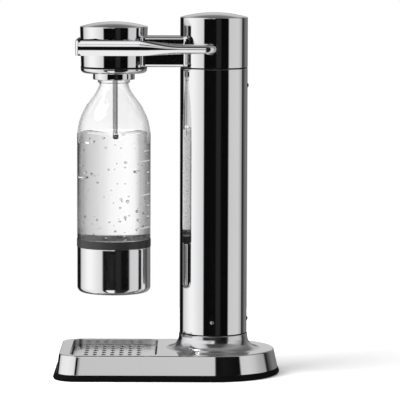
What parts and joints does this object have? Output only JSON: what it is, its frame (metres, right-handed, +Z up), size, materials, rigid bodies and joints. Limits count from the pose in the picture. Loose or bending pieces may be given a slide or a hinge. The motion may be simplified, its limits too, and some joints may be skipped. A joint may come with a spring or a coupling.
{
  "type": "sparkling water maker",
  "caption": "Upright steel drink carbonator: round column on a low base, head with bail lever, clear bottle hung in a socket over a perforated drip plate.",
  "frame": {"origin": "the point on the surface it stands on, under the middle of the foot pad", "axes": "+Z up; +X from the bottle side to the column side; +Y to the left of someone who faces the bottle side"},
  "size_m": [0.257, 0.152, 0.4122],
  "materials": {
    "polished_steel": "mirror-polished stainless steel",
    "satin_steel": "satin",
    "brass": "machined",
    "cast_aluminium": "satin",
    "black_rubber": "matte",
    "black_plastic": "matte",
    "grey_plastic": "matte",
    "clear_plastic": "clear glossy"
  },
  "bodies": {
    "machine": {"base_shell": "polished_steel", "base_pad": "black_rubber", "base_frame": "satin_steel", "column_foot": "cast_aluminium", "foot_screw_1": "satin_steel", "foot_screw_2": "satin_steel", "foot_screw_3": "satin_steel", "foot_screw_4": "satin_steel", "column_seal": "black_rubber", "column_tube": "polished_steel", "bumper_low": "black_rubber", "bumper_high": "black_rubber", "side_pin_far": "polished_steel", "side_pin_near": "polished_steel", "cylinder_guide": "grey_plastic", "head_adapter": "black_plastic", "valve_block": "brass", "valve_washer": "black_rubber", "plunger_spring": "satin_steel", "top_housing": "polished_steel", "head_seam": "black_rubber", "trim_ring": "polished_steel", "bottle_socket": "polished_steel", "bottle_gasket": "black_rubber", "nozzle_block": "grey_plastic", "head_screw_1": "satin_steel", "head_screw_2": "satin_steel", "head_screw_3": "satin_steel", "nozzle_tube": "satin_steel", "nozzle_tip": "black_plastic", "gas_tube": "black_plastic", "relief_body": "brass", "relief_spring": "satin_steel", "bushing_far": "black_plastic", "bushing_near": "black_plastic"},
    "lever_group": {"lever": "polished_steel", "lever_shaft": "satin_steel"},
    "plunger_group": {"plunger": "satin_steel"},
    "gas_group": {"gas_cylinder": "cast_aluminium", "gas_valve": "brass"},
    "valve_pin": {"gas_valve_pin": "satin_steel"},
    "bottle_group": {"bottle": "clear_plastic", "bottle_band": "black_rubber", "bottle_cup": "polished_steel"},
    "plate": {"drip_plate": "polished_steel"},
    "poppet": {"relief_poppet": "satin_steel"}
  },
  "joints": [
    {"name": "lever_hinge", "type": "hinge", "parent": "machine", "child": "lever_group", "pos_m": [0.05, 0, 0.3719], "axis": [0, -1, 0], "range_deg": [0, 18], "stiffness_Nm_per_rad": 1.5, "springref_deg": -22.92},
    {"name": "plunger_slide", "type": "slide", "parent": "machine", "child": "plunger_group", "axis": [0, 0, -1], "range_m": [0, 0.0019], "deforming": ["plunger_spring"]},
    {"name": "gas_cylinder_turn", "type": "hinge", "parent": "machine", "child": "gas_group", "pos_m": [0.0525, 0, 0.2], "axis": [0, 0, -1], "range_deg": [0, 1080]},
    {"name": "valve_pin_slide", "type": "slide", "parent": "gas_group", "child": "valve_pin", "axis": [0, 0, -1], "range_m": [0, 0.0019]},
    {"name": "bottle_lower", "type": "slide", "parent": "machine", "child": "bottle_group", "axis": [0, 0, -1], "range_m": [0, 0.055]},
    {"name": "plate_lift", "type": "slide", "parent": "machine", "child": "plate", "axis": [0, 0, 1], "range_m": [0, 0.012]},
    {"name": "relief_lift", "type": "slide", "parent": "machine", "child": "poppet", "axis": [0, 0, 1], "range_m": [0, 0.0014], "stiffness_N_per_m": 800, "springref_m": -0.002, "deforming": ["relief_spring"]}
  ],
  "couplings": [
    {"joint": "plunger_slide", "follows": "lever_hinge", "m_per_rad": 0.0059},
    {"joint": "valve_pin_slide", "follows": "lever_hinge", "m_per_rad": 0.0059}
  ]
}
